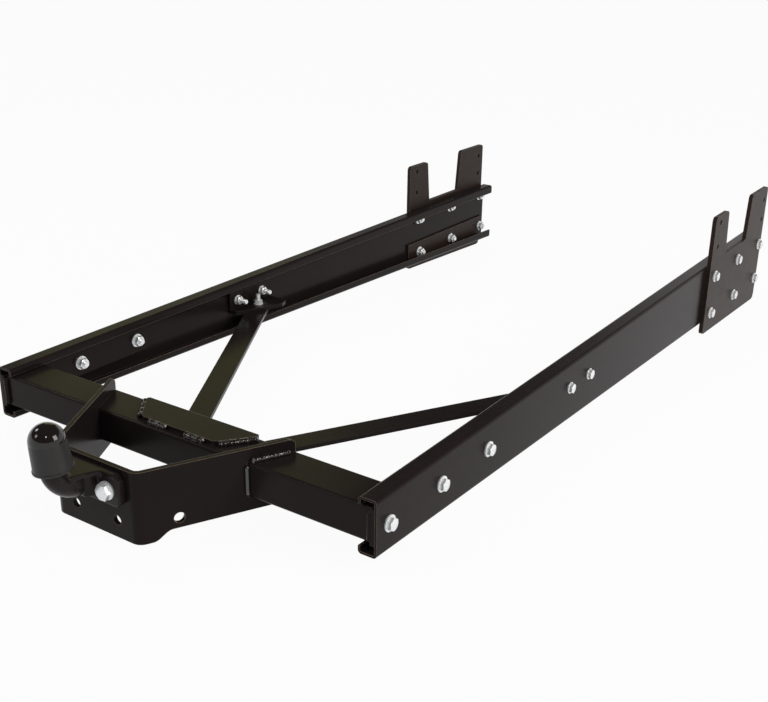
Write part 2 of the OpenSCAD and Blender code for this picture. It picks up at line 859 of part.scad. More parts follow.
module rail_nuts() {
    for (back = end_bolt_back) facing_in(x_end_plate - washer_t, back, z_web_bolts) m12_nut();
}

module rail_bolts_right() {
    color(zinc) rail_bolts();
}

module rail_bolts_left() {
    color(zinc) on_left() rail_bolts();
}

module rail_washers_right() {
    color(zinc) rail_washers();
}

module rail_washers_left() {
    color(zinc) on_left() rail_washers();
}

module rail_nuts_right() {
    color(zinc) rail_nuts();
}

module rail_nuts_left() {
    color(zinc) on_left() rail_nuts();
}

// Side plates

// Outline of a side plate, counted from the rail's end and top
module plate_outline() {
    rear = plate_rear;
    top = prong_up;
    low_rear = -plate_down - plate_fall;
    notch_front = plate_front + short_prong_w;
    notch_rear = rear - tall_prong_w;
    small = 5;
    difference() {
        polygon([[plate_front, -plate_down + small], [plate_front + small, -plate_down],
            [rear - plate_r, low_rear], [rear - plate_r * 0.3, low_rear + plate_r * 0.3],
            [rear, low_rear + plate_r], [rear, top - prong_r], [rear - prong_r, top - prong_r],
            [rear - prong_r, top], [plate_front + prong_r, top],
            [plate_front + prong_r, top - prong_r], [plate_front, top - prong_r]]);
        polygon([[notch_front, far], [notch_front, top - prong_r],
            [notch_front + prong_taper, notch_up], [notch_rear - prong_taper, notch_up],
            [notch_rear, top - prong_r], [notch_rear, far]]);
        for (x = [notch_front - prong_r, notch_rear])
            translate([x, top - prong_r]) square([prong_r, far]);
    }
    for (x = [plate_front + prong_r, notch_front - prong_r, notch_rear + prong_r, rear - prong_r])
        translate([x, top - prong_r]) circle(prong_r);
}

module side_plate() {
    difference() {
        translate([0, y_rail, z_rail]) side_slab(x_web, plate_t) plate_outline();
        for (back = plate_bolt_back, drop = [plate_row_high, plate_row_low])
            cross_hole(x_web - 1, x_web + plate_t + 1, y_rail + back, z_rail - drop, hole_d);
        for (up = [short_hole_up, short_hole_up + short_hole_gap])
            cross_hole(x_web - 1, x_web + plate_t + 1, y_rail + short_hole_back, z_rail + up,
                vehicle_hole_d);
        for (up = [tall_hole_up, tall_hole_up + tall_hole_gap])
            cross_hole(x_web - 1, x_web + plate_t + 1, y_rail + tall_hole_back, z_rail + up,
                vehicle_hole_d);
    }
}

module side_plate_right() {
    color(satin_black) side_plate();
}

module side_plate_left() {
    color(satin_black) on_left() side_plate();
}

module inner_bar() {
    difference() {
        translate([x_web_in - bar_t, y_rail + bar_front, z_rail - bar_drop - bar_h])
            cube([bar_t, bar_len, bar_h]);
        for (back = plate_bolt_back)
            cross_hole(x_web_in - bar_t - 1, x_web, y_rail + back, z_rail - plate_row_low, hole_d);
    }
}

module inner_bar_right() {
    color(satin_black) inner_bar();
}

module inner_bar_left() {
    color(satin_black) on_left() inner_bar();
}

// The upper bolts of the side plates clamp the web alone, the lower ones the backing bar too
module plate_bolts() {
    grip = 2 * washer_t + plate_t + rail_t + nut_h;
    for (back = plate_bolt_back) {
        facing_out(x_web + plate_t + washer_t, back, z_rail - plate_row_high)
            m12_bolt(grip + stud_short);
        facing_out(x_web + plate_t + washer_t, back, z_rail - plate_row_low)
            m12_bolt(grip + bar_t + stud_short);
    }
}

module plate_washers() {
    for (back = plate_bolt_back) {
        for (drop = [plate_row_high, plate_row_low])
            facing_out(x_web + plate_t, back, z_rail - drop) m12_washer();
        facing_in(x_web_in, back, z_rail - plate_row_high) m12_washer();
        facing_in(x_web_in - bar_t, back, z_rail - plate_row_low) m12_washer();
    }
}

module plate_nuts() {
    for (back = plate_bolt_back) {
        facing_in(x_web_in - washer_t, back, z_rail - plate_row_high) m12_nut();
        facing_in(x_web_in - bar_t - washer_t, back, z_rail - plate_row_low) m12_nut();
    }
}

module plate_bolts_right() {
    color(zinc) plate_bolts();
}

module plate_bolts_left() {
    color(zinc) on_left() plate_bolts();
}

module plate_washers_right() {
    color(zinc) plate_washers();
}

module plate_washers_left() {
    color(zinc) on_left() plate_washers();
}

module plate_nuts_right() {
    color(zinc) plate_nuts();
}

module plate_nuts_left() {
    color(zinc) on_left() plate_nuts();
}

// Welds

// A fillet weld along +Z in the corner between the planes x = 0 and y = 0
module fillet(a, b, length) {
    linear_extrude(length) polygon([[0, 0], [a, 0], [0, b]]);
}

// Upright beads between the tube's flat front and rear and the end plates
module tube_end_welds() {
    length = tube_h - 2 * tube_r;
    color(satin_black) both_sides() {
        translate([x_end_plate, y_tube, z_tube_low + tube_r]) rotate([0, 0, 180])
            fillet(weld_leg, tube_setback - 0.5, length);
        translate([x_end_plate, y_tube_rear, z_tube_low + tube_r]) rotate([0, 0, 90])
            fillet(weld_leg, weld_leg, length);
    }
}

// Beads where the bracket's arms meet the front and the top of the tube
module bracket_welds() {
    x_front = x_nose + nose_reach * tan(splay);
    upright = tube_h - 2 * tube_r;
    bead = finger_len - tube_r - finger_r;
    color(satin_black) both_sides() {
        translate([x_front, y_tube, z_tube_low + tube_r]) linear_extrude(upright)
            polygon([[0, 0], [weld_leg, 0], [-weld_leg * sin(splay), -weld_leg * cos(splay)]]);
        translate([x_front + tube_r * tan(splay), y_tube + tube_r, z_tube_top]) rotate([0, 0, -splay])
            rotate([-90, 0, 0]) mirror([0, 1, 0]) fillet(weld_leg, weld_leg, bead / cos(splay));
    }
}

// Two stitches along the doubler's front edge and one along each slanted end
module doubler_welds() {
    leg = min(weld_leg, doubler_t);
    start = doubler_front_w / 2 + doubler_cut / 2;
    run = doubler_d - 2 * doubler_cut;
    slant = atan((doubler_rear_w / 2 - start) / run);
    color(satin_black) translate([doubler_shift, y_tube + doubler_inset, z_tube_top]) {
        for (x = [-1, 1] * doubler_front_w / 4)
            translate([x - stitch_len / 2, 0, 0]) rotate([0, 90, 0]) rotate([0, 0, 180])
                fillet(leg, leg, stitch_len);
        both_sides() translate([start, doubler_cut, 0]) rotate([0, 0, -slant])
            rotate([-90, 0, 0]) mirror([0, 1, 0]) fillet(leg, leg, run / cos(slant));
    }
}

// Beads across the braces' flat sides under the tube's rear edge
module brace_welds() {
    x_brace = x_pivot - (y_pivot - y_tube_rear) * tan(brace_angle);
    length = brace_lap / 2 / cos(brace_angle);
    color(satin_black) both_sides()
        translate([x_brace, y_tube_rear - tube_r, z_tube_low]) rotate([0, 0, -brace_angle])
            translate([brace_w / 2, 0, 0]) rotate([90, 0, 0]) mirror([0, 1, 0])
                fillet(weld_leg, weld_leg, length);
}

rail_left();
rail_right();
cross_tube();
end_plate_left();
end_plate_right();
tow_bracket();
tube_doubler();
brace_left();
brace_right();
brace_bracket_left();
brace_bracket_right();
side_plate_left();
side_plate_right();
inner_bar_left();
inner_bar_right();
tow_ball();
ball_cap();
ball_bolts();
ball_washers();
ball_nuts();
rail_bolts_left();
rail_bolts_right();
rail_washers_left();
rail_washers_right();
rail_nuts_left();
rail_nuts_right();
bracket_bolts();
bracket_washers();
bracket_nuts();
pivot_bolts();
pivot_washers();
pivot_nuts();
plate_bolts_left();
plate_bolts_right();
plate_washers_left();
plate_washers_right();
plate_nuts_left();
plate_nuts_right();
tube_end_welds();
bracket_welds();
doubler_welds();
brace_welds();
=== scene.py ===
"""Looks of the bolt-on trailer hitch: finishes, screw threads, weld beads, forging, ball cap and stage."""

import math

import bmesh
import bpy
from bpy.props import FloatProperty, FloatVectorProperty, IntProperty, PointerProperty
from mathutils import Matrix, Vector


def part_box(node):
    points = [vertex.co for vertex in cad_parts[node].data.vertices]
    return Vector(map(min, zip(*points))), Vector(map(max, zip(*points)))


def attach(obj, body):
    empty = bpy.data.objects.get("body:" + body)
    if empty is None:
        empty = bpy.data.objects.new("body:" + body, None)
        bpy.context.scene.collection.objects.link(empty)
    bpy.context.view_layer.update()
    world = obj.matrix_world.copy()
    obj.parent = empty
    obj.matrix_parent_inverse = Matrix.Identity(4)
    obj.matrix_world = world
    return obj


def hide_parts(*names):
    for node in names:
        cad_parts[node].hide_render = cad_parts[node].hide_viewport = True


bl_info = {
    "name": "Trailer hitch looks",
    "version": (1, 0, 0),
    "blender": (4, 5, 0),
    "location": "3D View > Sidebar > Hitch",
    "description": "Finishes and fine pieces for the bolt-on trailer hitch",
    "category": "Object",
}

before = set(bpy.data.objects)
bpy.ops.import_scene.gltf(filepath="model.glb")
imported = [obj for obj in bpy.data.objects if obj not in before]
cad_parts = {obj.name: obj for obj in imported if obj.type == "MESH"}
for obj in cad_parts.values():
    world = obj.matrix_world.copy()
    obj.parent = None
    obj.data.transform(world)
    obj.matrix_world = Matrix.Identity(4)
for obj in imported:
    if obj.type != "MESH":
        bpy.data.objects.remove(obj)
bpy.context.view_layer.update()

OUTER_STEEL = ["rail_left", "rail_right", "cross_tube", "tow_bracket", "tube_doubler"]
INNER_STEEL = [
    "end_plate_left", "end_plate_right", "brace_left", "brace_right", "brace_bracket_left",
    "brace_bracket_right",
]
CUT_PLATES = ["side_plate_left", "side_plate_right", "inner_bar_left", "inner_bar_right"]
NUTS_AND_WASHERS = [
    "ball_washers", "ball_nuts", "rail_washers_left", "rail_washers_right", "rail_nuts_left",
    "rail_nuts_right", "bracket_washers", "bracket_nuts", "pivot_washers", "pivot_nuts",
    "plate_washers_left", "plate_washers_right", "plate_nuts_left", "plate_nuts_right",
]
M12_BOLTS = ["rail_bolts_left", "rail_bolts_right", "plate_bolts_left", "plate_bolts_right"]
M10_BOLTS = ["bracket_bolts", "pivot_bolts"]
WELDS = ["tube_end_welds", "bracket_welds", "doubler_welds", "brace_welds"]

# Tint of the coat's reflections
WARM_SHEEN = (1.0, 0.88, 0.85, 1.0)

# Width over the flats, head's height and shank's radius of each bolt size
M10_SIZE = (0.017, 0.0065, 0.005)
M12_SIZE = (0.019, 0.0075, 0.006)
M16_SIZE = (0.024, 0.01, 0.008)
LONGEST_THREAD = 0.036

# Seat of the cap on the ball: how far its axis leans, and in which direction
CAP_TILT = math.radians(6)
CAP_LEAN = math.radians(215)

# Radii of the cap's dome inside and outside, and how much wider its skirt is at the foot
CAP_INNER = 0.0253
CAP_OUTER = 0.0275
CAP_FLARE = 0.002
# Length of the skirt, radius and height of the rim at its foot, and rounding of its corners
CAP_SKIRT = 0.045
CAP_RIM = 0.0305
CAP_RIM_HEIGHT = 0.0035
CAP_ROUNDING = 0.0007

# The doubler's right slope lies further right than this
DOUBLER_SLOPE = 0.09

# Edges that turn by more than this stay sharp
SHARP = math.radians(34)


class Wire:
    """A socket that a material's numbers can be worked out with."""

    def __init__(self, tree, socket):
        self.tree = tree
        self.socket = socket

    def math(self, operation, first, second):
        made = self.tree.nodes.new("ShaderNodeMath")
        made.operation = operation
        for socket, value in zip(made.inputs, (first, second)):
            plug(self.tree, socket, value)
        return Wire(self.tree, made.outputs[0])

    def __add__(self, other):
        return self.math("ADD", self, other)

    def __sub__(self, other):
        return self.math("SUBTRACT", self, other)

    def __rsub__(self, other):
        return self.math("SUBTRACT", other, self)

    def __mul__(self, other):
        return self.math("MULTIPLY", self, other)

    __radd__ = __add__

    def clamped(self):
        return self.math("MINIMUM", self.math("MAXIMUM", self, 0.0), 1.0)


def plug(tree, socket, value):
    """Gives a socket a value or a link."""
    if value is None:
        return
    if isinstance(value, Wire):
        tree.links.new(value.socket, socket)
    else:
        socket.default_value = value


class Finish:
    """A procedural material around one Principled shader."""

    def __init__(self, name):
        self.material = bpy.data.materials.new(name)
        self.material.use_nodes = True
        self.tree = self.material.node_tree
        self.shader = self.tree.nodes["Principled BSDF"]
        self.place = self.node("ShaderNodeTexCoord", output="Object")

    def node(self, kind, settings=None, inputs=None, output=0):
        made = self.tree.nodes.new(kind)
        for key, value in (settings or {}).items():
            setattr(made, key, value)
        for key, value in (inputs or {}).items():
            plug(self.tree, made.inputs[key], value)
        return Wire(self.tree, made.outputs[output])

    def noise(self, scale, detail=2.0, roughness=0.5):
        values = {"Vector": self.place, "Scale": scale, "Detail": detail, "Roughness": roughness}
        return self.node("ShaderNodeTexNoise", inputs=values)

    def blend(self, factor, first, second):
        made = self.tree.nodes.new("ShaderNodeMix")
        made.data_type = "RGBA"
        plug(self.tree, made.inputs[0], factor)
        for socket, colour in ((made.inputs[6], first), (made.inputs[7], second)):
            plug(self.tree, socket, colour if isinstance(colour, Wire) else (*colour, 1.0))
        return Wire(self.tree, made.outputs[2])

    def soft_edges(self, radius):
        """Rounded normals and a mask that is 1 on the edges."""
        rounded = self.node("ShaderNodeBevel", {"samples": 6}, {"Radius": radius})
        flat = self.node("ShaderNodeNewGeometry", output="Normal")
        same = self.dot_product(rounded, flat)
        return rounded, ((1.0 - same) * 8.0).clamped()

    def dot_product(self, first, second):
        inputs = {0: first, 1: second}
        return self.node("ShaderNodeVectorMath", {"operation": "DOT_PRODUCT"}, inputs, "Value")

    def bump(self, height, strength, distance, normal=None):
        values = {"Height": height, "Strength": strength, "Distance": distance, "Normal": normal}
        return self.node("ShaderNodeBump", inputs=values)

    def set(self, **values):
        for key, value in values.items():
            plug(self.tree, self.shader.inputs[key.replace("_", " ")], value)
        return self.material


def powder_coat(name, colour, wear_and_highlight, sheen, roughness):
    """Sprayed and baked coat: soft clouds, orange peel, and edges painted lighter, partly rubbed wear and
    partly a painted edge highlight.
    """
    finish = Finish(name)
    cloud = finish.noise(7.0, 3.0)
    rub = finish.noise(38.0, 5.0, 0.65)
    peel = finish.noise(620.0, 2.0)
    rounded, edge = finish.soft_edges(0.0014)
    base = finish.blend(cloud, [c * 0.82 for c in colour], [c * 1.2 for c in colour])
    # Edges lighter: partly rubbed wear, partly a painted highlight where light catches them
    base = finish.blend((edge * (0.4 + rub * 1.3)).clamped(), base, wear_and_highlight)
    return finish.set(
        Base_Color=base,
        Roughness=roughness - 0.08 + cloud * 0.08 + rub * 0.1,
        Specular_IOR_Level=sheen,
        Specular_Tint=WARM_SHEEN,
        Normal=finish.bump(peel, 0.16, 0.0004, rounded),
    )


def painted_forging(colour, wear_and_highlight):
    finish = Finish("painted_forging")
    scale = finish.noise(95.0, 4.0, 0.6)
    fine = finish.noise(520.0, 2.0)
    base = finish.blend(scale, [c * 0.8 for c in colour], [c * 1.3 for c in colour])
    base = finish.blend(((scale - 0.62) * 6.0).clamped() * 0.25, base, wear_and_highlight)
    return finish.set(
        Base_Color=base,
        Roughness=0.16 + scale * 0.12,
        Specular_IOR_Level=0.13,
        Normal=finish.bump(scale + fine * 0.3, 0.3, 0.0006),
    )


def coated_weld(colour):
    finish = Finish("coated_weld")
    lumps = finish.noise(240.0, 3.0, 0.6)
    base = finish.blend(lumps, [c * 0.6 for c in colour], [c * 1.3 for c in colour])
    return finish.set(
        Base_Color=base,
        Roughness=0.07 + lumps * 0.1,
        Specular_IOR_Level=0.5,
        Coat_Weight=0.8,
        Coat_Roughness=0.05,
        Normal=finish.bump(lumps, 0.5, 0.0013),
    )


def bright_zinc(colour):
    finish = Finish("bright_zinc")
    patch = finish.noise(160.0, 3.0)
    grain = finish.noise(1400.0, 2.0)
    rounded, edge = finish.soft_edges(0.00025)
    dull = [c * 0.88 for c in colour]
    base = finish.blend(patch, dull, colour)
    # Lighter along the edges: a painted highlight
    base = finish.blend(edge * 0.4, base, (0.95, 0.95, 0.96))
    return finish.set(
        Base_Color=base,
        Metallic=0.55,
        Roughness=0.26 + patch * 0.1,
        Normal=finish.bump(grain, 0.04, 0.0002, rounded),
    )


def moulded_cap(colour, tilt, lean):
    """Polished above the ball's middle, spark-eroded matte on the skirt."""
    finish = Finish("moulded_cap")
    axis = (math.sin(tilt) * math.cos(lean), math.sin(tilt) * math.sin(lean), math.cos(tilt))
    height = finish.dot_product(finish.place, axis)
    matte = ((0.0012 - height) * 900.0).clamped()
    grain = finish.noise(1500.0, 2.0)
    cloud = finish.noise(60.0, 2.0)
    skirt = finish.blend(cloud, [c * 0.88 for c in colour], [c * 1.12 for c in colour])
    return finish.set(
        Base_Color=finish.blend(matte, (0.011, 0.009, 0.009), skirt),
        Roughness=0.08 + matte * (0.24 + grain * 0.08),
        Specular_IOR_Level=0.3,
        Coat_Weight=(1.0 - matte) * 0.3,
        Coat_Roughness=0.07,
        Normal=finish.bump(grain * matte, 0.14, 0.0003),
    )


def paper_white():
    """Floor that shows white to the camera and keeps a faint shadow."""
    finish = Finish("studio_floor")
    tree = finish.tree
    speckle = finish.noise(30.0, 2.0)
    tone = finish.blend(speckle, (0.6, 0.6, 0.6), (0.64, 0.64, 0.64))
    finish.set(Base_Color=tone, Roughness=0.9, Specular_IOR_Level=0.1)
    glow = tree.nodes.new("ShaderNodeEmission")
    glow.inputs["Color"].default_value = (1.0, 1.0, 1.0, 1.0)
    mixed = tree.nodes.new("ShaderNodeMixShader")
    plug(tree, mixed.inputs[0], seen_rays(tree) * 0.95)
    tree.links.new(finish.shader.outputs[0], mixed.inputs[1])
    tree.links.new(glow.outputs[0], mixed.inputs[2])
    tree.links.new(mixed.outputs[0], tree.nodes["Material Output"].inputs["Surface"])
    return finish.material


def seen_rays(tree):
    """1 for rays from the camera and for mirrored and refracted ones."""
    rays = tree.nodes.new("ShaderNodeLightPath")
    names = ("Is Camera Ray", "Is Glossy Ray", "Is Transmission Ray")
    camera, glossy, through = (Wire(tree, rays.outputs[n]) for n in names)
    return (camera + glossy + through).clamped()


def middle_of(points):
    return sum(points, Vector()) / len(points)


def solids(node):
    """The corner points of each separate solid of a CAD node."""
    bm = bmesh.new()
    bm.from_mesh(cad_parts[node].data)
    bmesh.ops.remove_doubles(bm, verts=bm.verts, dist=1e-6)
    left = set(bm.verts)
    found = []
    while left:
        island = [left.pop()]
        for vert in island:
            for edge in vert.link_edges:
                other = edge.other_vert(vert)
                if other in left:
                    left.remove(other)
                    island.append(other)
        found.append(sorted((v.co.copy() for v in island), key=tuple))
    bm.free()
    return sorted(found, key=lambda points: tuple(round(c, 5) for c in middle_of(points)))


def piece(name, bm, material, body, stands_for):
    """Makes a finished object of a bmesh and hands it to the frame."""
    bmesh.ops.recalc_face_normals(bm, faces=bm.faces)
    for face in bm.faces:
        face.smooth = True
    for edge in bm.edges:
        if len(edge.link_faces) == 2 and edge.calc_face_angle() > SHARP:
            edge.smooth = False
    mesh = bpy.data.meshes.new(name)
    bm.to_mesh(mesh)
    bm.free()
    mesh.materials.append(material)
    made = bpy.data.objects.new(name, mesh)
    bpy.context.scene.collection.objects.link(made)
    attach(made, body)
    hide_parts(stands_for)
    return made


def join(whole, part):
    """Adds one bmesh to another and frees it."""
    mesh = bpy.data.meshes.new("part")
    part.to_mesh(mesh)
    part.free()
    whole.from_mesh(mesh)
    bpy.data.meshes.remove(mesh)


def dress(nodes, material):
    """Gives CAD nodes a finish."""
    for name in nodes:
        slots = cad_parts[name].data.materials
        slots.clear()
        slots.append(material)


def hex_head(bm, across, height):
    """A hexagon head from z = 0 up, with its corners turned off round the top."""
    sides = 36
    ring = bmesh.ops.create_circle(bm, cap_ends=True, radius=across / 2, segments=sides)["verts"]
    for vert in ring:
        angle = math.atan2(vert.co.y, vert.co.x) % (math.pi / 3) - math.pi / 6
        vert.co.xy *= 1 / math.cos(angle)
    floor = ring[0].link_faces[0]
    wall = bmesh.ops.extrude_face_region(bm, geom=[floor])["geom"]
    crown = across * 0.47
    for vert in [g for g in wall if isinstance(g, bmesh.types.BMVert)]:
        vert.co.z = height - (vert.co.xy.length - crown) * math.tan(math.radians(30))
    lid = [g for g in wall if isinstance(g, bmesh.types.BMFace)]
    top = bmesh.ops.extrude_face_region(bm, geom=lid)["geom"]
    for vert in [g for g in top if isinstance(g, bmesh.types.BMVert)]:
        vert.co.xy *= crown / vert.co.xy.length
        vert.co.z = height
    bmesh.ops.delete(bm, geom=lid, context="FACES_ONLY")


def screw_thread(bm, radius, pitch, low, high):
    """A screw thread round Z between two heights, its lower end turned to a point."""
    steps = 24
    depth = 0.58 * pitch
    # How far inward, and at which share of the pitch, the crest and the root begin and end
    shape = ((0.0, 0.0), (0.0, 0.14), (depth, 0.5), (depth, 0.64))
    last = None
    start = low - 2 * pitch
    for turn in range(int((high - low) / pitch) + 4):
        for inward, share in shape:
            vert = bm.verts.new((radius - inward, 0, start + (turn + share) * pitch))
            if last:
                bm.edges.new((last, vert))
            last = vert
    new = list(bm.verts) + list(bm.edges)
    rise = (0, 0, pitch / steps)
    bmesh.ops.spin(bm, geom=new, cent=(0, 0, 0), axis=(0, 0, 1), dvec=rise, angle=2 * math.pi, steps=steps)
    bmesh.ops.remove_doubles(bm, verts=bm.verts, dist=pitch * 0.01)
    for height, side in ((low, {"clear_inner": True}), (high, {"clear_outer": True})):
        everything = list(bm.verts) + list(bm.edges) + list(bm.faces)
        bmesh.ops.bisect_plane(bm, geom=everything, plane_co=(0, 0, height), plane_no=(0, 0, 1), **side)
    bmesh.ops.holes_fill(bm, edges=[e for e in bm.edges if e.is_boundary])
    for vert in bm.verts:
        limit = radius - 0.9 * depth + max(0.0, vert.co.z - low)
        if vert.co.xy.length > limit:
            vert.co.xy *= limit / vert.co.xy.length


def bolt(across, head, radius, pitch, shank, threaded):
    """A hexagon bolt, its head's underside at z = 0 and its shank pointing down."""
    bm = bmesh.new()
    screw_thread(bm, radius, pitch, -shank, threaded - shank)
    rod = bmesh.ops.create_cone(
        bm, cap_ends=True, segments=32, radius1=radius, radius2=radius, depth=shank - threaded
    )["verts"]
    bmesh.ops.translate(bm, verts=rod, vec=(0, 0, (threaded - shank) / 2))
    top = bmesh.new()
    hex_head(top, across, head)
    join(bm, top)
    return bm


def bolt_lines(node, head):
    """For each bolt of a node: the place under its head, the way its head faces and its shank's length."""
    for points in solids(node):
        low = Vector(map(min, zip(*points)))
        high = Vector(map(max, zip(*points)))
        size = high - low
        axis = max(range(3), key=lambda i: size[i])
        middle = (low + high) / 2
        across = [i for i in range(3) if i != axis]
        wide = max(points, key=lambda p: sum((p[i] - middle[i]) ** 2 for i in across))
        way = 1 if wide[axis] > middle[axis] else -1
        seat = middle.copy()
        seat[axis] = (high[axis] if way > 0 else low[axis]) - way * head
        facing = Vector((0, 0, 0))
        facing[axis] = way
        yield seat, facing, size[axis] - head


def bead_line(node, points):
    """Start and end of a weld: from its lower end up, or outwards from the hitch's middle."""
    middle = middle_of(points)
    far = max(points, key=lambda p: (p - middle).length) - middle
    ends = [[p for p in points if ((p - middle).dot(far) > 0) is side] for side in (True, False)]
    line = sorted(map(middle_of, ends), key=lambda p: (round(p.z, 5), round(abs(p.x), 5)))
    # The bead on the doubler's right slope was laid inwards
    if node == "doubler_welds" and line[0].x > DOUBLER_SLOPE:
        line.reverse()
    return line


def bead(bm, start, end, radius, pitch):
    """A weld bead between two points: rippled where it lies flat, smoother where it climbs."""
    way = end - start
    climbs = abs(way.normalized().z) > 0.9
    lively = 0.15 if climbs else 1.0
    radius *= 0.8 if climbs else 1.0
    turn = Vector((0, 0, 1)).rotation_difference(way).to_matrix().to_4x4()
    spacing = 0.0009
    rings = max(6, int(way.length / spacing))
    ring = bmesh.ops.create_circle(bm, cap_ends=True, radius=radius * 0.5, segments=16)["verts"]
    bmesh.ops.transform(bm, matrix=Matrix.Translation(start) @ turn, verts=ring)
    face = ring[0].link_faces[0]
    size = 0.5
    for step in range(1, rings + 1):
        share = step / rings
        along = share * way.length
        ripple = abs(math.sin(math.pi * along / pitch))
        swell = math.sin(along * 310 + 1) + 0.7 * math.sin(along * 730)
        ends = min(1.0, 0.6 + 9 * min(share, 1 - share))
        new = (0.86 + lively * (0.16 * ripple ** 0.6 + 0.1 * swell)) * ends
        grown = bmesh.ops.extrude_face_region(bm, geom=[face])["geom"]
        bmesh.ops.delete(bm, geom=[face], context="FACES_ONLY")
        face = next(g for g in grown if isinstance(g, bmesh.types.BMFace))
        centre = start + way * share
        bmesh.ops.translate(bm, verts=face.verts, vec=way / rings)
        about = Matrix.Translation(-centre)
        bmesh.ops.scale(bm, verts=face.verts, vec=[new / size] * 3, space=about)
        size = new


class HITCH_PG_finishes(bpy.types.PropertyGroup):
    """Colours of the hitch's finishes."""

    coat: FloatVectorProperty(
        name="Powder coat", description="Colour of the powder coat", subtype="COLOR",
        default=(0.0138, 0.0105, 0.0104), min=0, max=1,
    )
    plate: FloatVectorProperty(
        name="Plates' coat", description="Colour of the coat on the cut plates", subtype="COLOR",
        default=(0.024, 0.016, 0.0132), min=0, max=1,
    )
    # Colour of the coat's lighter edges, rubbed wear and a painted edge highlight; the forging's worn
    # patches use it too
    wear_and_highlight: FloatVectorProperty(
        name="Rubbed edges and edge highlight", description="Colour of rubbed edges and painted edge highlight", subtype="COLOR",
        default=(0.2, 0.155, 0.12), min=0, max=1,
    )
    zinc: FloatVectorProperty(
        name="Zinc", description="Colour of the fasteners' plating", subtype="COLOR",
        default=(0.92, 0.95, 0.97), min=0, max=1,
    )
    cap: FloatVectorProperty(
        name="Cap", description="Colour of the cap's skirt", subtype="COLOR",
        default=(0.022, 0.0205, 0.0205), min=0, max=1,
    )


class HITCH_PG_sizes(bpy.types.PropertyGroup):
    """Sizes of the hitch's fine pieces."""

    small_pitch: FloatProperty(
        name="M10 pitch", description="Pitch of the M10 threads", default=0.0015,
        min=0.001, max=0.003, unit="LENGTH", precision=5,
    )
    medium_pitch: FloatProperty(
        name="M12 pitch", description="Pitch of the M12 threads", default=0.00175,
        min=0.001, max=0.003, unit="LENGTH", precision=5,
    )
    large_pitch: FloatProperty(
        name="M16 pitch", description="Pitch of the ball bolts' threads", default=0.002,
        min=0.001, max=0.003, unit="LENGTH", precision=5,
    )
    bead: FloatProperty(
        name="Bead", description="Radius of the weld beads", default=0.0056,
        min=0.002, max=0.006, unit="LENGTH", precision=4,
    )
    ripple: FloatProperty(
        name="Ripple", description="Distance between a bead's ripples", default=0.0052,
        min=0.002, max=0.01, unit="LENGTH", precision=4,
    )
    voxel: FloatProperty(
        name="Forging grid", description="Grid on which the forging's corners are rounded",
        default=0.0013, min=0.0008, max=0.003, unit="LENGTH", precision=4,
    )
    rounding: IntProperty(
        name="Forging rounding", description="How often the forging is smoothed", default=5, min=1, max=30,
    )


def finishes():
    return bpy.context.scene.hitch_finishes


def sizes():
    return bpy.context.scene.hitch_sizes


def zinc():
    """The plating, which all fasteners share."""
    return bpy.data.materials.get("bright_zinc") or bright_zinc(tuple(finishes().zinc))


class HITCH_OT_coat_frame(bpy.types.Operator):
    """Puts the satin powder coat on rails, tube, bracket, braces and plates"""

    bl_idname = "hitch.coat_frame"
    bl_label = "Coat the frame"

    def execute(self, context):
        coat, wear_and_highlight = tuple(finishes().coat), tuple(finishes().wear_and_highlight)
        dress(OUTER_STEEL, powder_coat("satin_powder_coat", coat, wear_and_highlight, 0.068, 0.22))
        # Inner steel gets only a faint painted highlight along its edges, three times the coat's colour
        faint_edge_highlight = [c * 3 for c in coat]
        dress(INNER_STEEL, powder_coat("highlit_edge_powder_coat", coat, faint_edge_highlight, 0.068, 0.22))
        plate = tuple(finishes().plate)
        dress(CUT_PLATES, powder_coat("matte_powder_coat", plate, wear_and_highlight, 0.11, 0.4))
        return {"FINISHED"}


class HITCH_OT_plate_hardware(bpy.types.Operator):
    """Puts zinc plating on nuts and washers"""

    bl_idname = "hitch.plate_hardware"
    bl_label = "Plate nuts and washers"

    def execute(self, context):
        dress(NUTS_AND_WASHERS, zinc())
        return {"FINISHED"}


class HITCH_OT_cut_threads(bpy.types.Operator):
    """Makes the hexagon bolts with real screw threads"""

    bl_idname = "hitch.cut_threads"
    bl_label = "Bolts"

    def execute(self, context):
        size = sizes()
        self.make_bolts(M10_BOLTS, M10_SIZE, size.small_pitch)
        self.make_bolts(M12_BOLTS, M12_SIZE, size.medium_pitch)
        self.make_bolts(["ball_bolts"], M16_SIZE, size.large_pitch)
        return {"FINISHED"}

    def make_bolts(self, nodes, bolt_size, pitch):
        across, head, radius = bolt_size
        for node in nodes:
            whole = bmesh.new()
            for seat, facing, shank in bolt_lines(node, head):
                threaded = min(LONGEST_THREAD, shank * 0.85)
                one = bolt(across, head, radius, pitch, shank, threaded)
                turn = Vector((0, 0, 1)).rotation_difference(facing).to_matrix().to_4x4()
                bmesh.ops.transform(one, matrix=Matrix.Translation(seat) @ turn, verts=one.verts)
                bmesh.ops.recalc_face_normals(one, faces=one.faces)
                join(whole, one)
            piece("threaded_" + node, whole, zinc(), "hitch", node)


class HITCH_OT_lay_welds(bpy.types.Operator):
    """Lays rippled beads where the CAD has plain fillets"""

    bl_idname = "hitch.lay_welds"
    bl_label = "Weld beads"

    def execute(self, context):
        size = sizes()
        gloss = coated_weld(tuple(finishes().coat))
        satin = bpy.data.materials["satin_powder_coat"]
        for node in WELDS:
            bm = bmesh.new()
            radius = size.bead * (1.25 if node == "tube_end_welds" else 1.0)
            for points in solids(node):
                bead(bm, *bead_line(node, points), radius, size.ripple)
            paint = satin if node == "tube_end_welds" else gloss
            piece("beads_" + node, bm, paint, "hitch", node)
        return {"FINISHED"}


